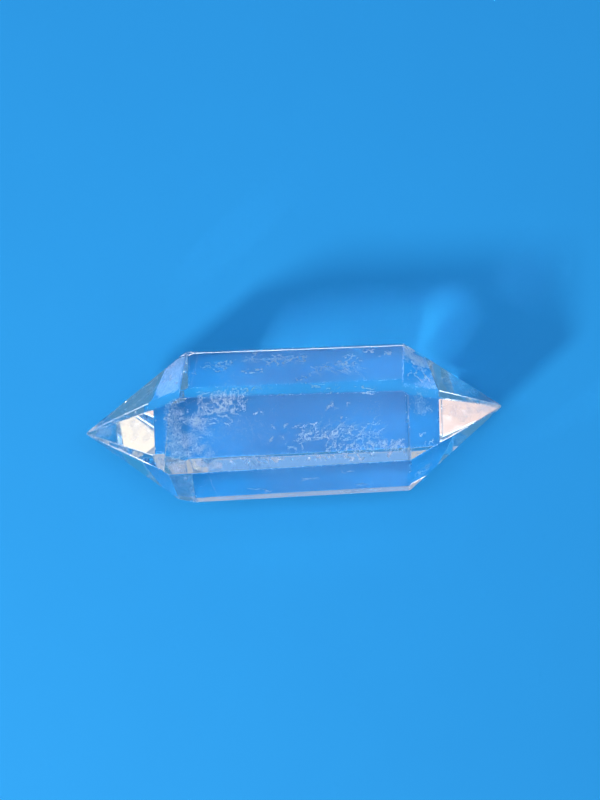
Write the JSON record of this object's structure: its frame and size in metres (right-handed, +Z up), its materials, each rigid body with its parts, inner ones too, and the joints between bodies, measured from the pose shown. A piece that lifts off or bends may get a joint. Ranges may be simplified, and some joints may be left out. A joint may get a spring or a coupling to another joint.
{
  "type": "polished double-terminated quartz point",
  "caption": "Clear six-sided quartz point with a pyramid at each end, lying on one flat prism face.",
  "frame": {"origin": "on the face that the stone rests on, under the middle of its box", "axes": "+X along the stone to its right-hand tip, +Z up out of the resting face"},
  "size_m": [0.0496, 0.0182, 0.0179],
  "materials": {
    "clear_quartz": "polished, see-through"
  },
  "bodies": {
    "root": {"quartz_crystal": "clear_quartz"}
  },
  "joints": []
}
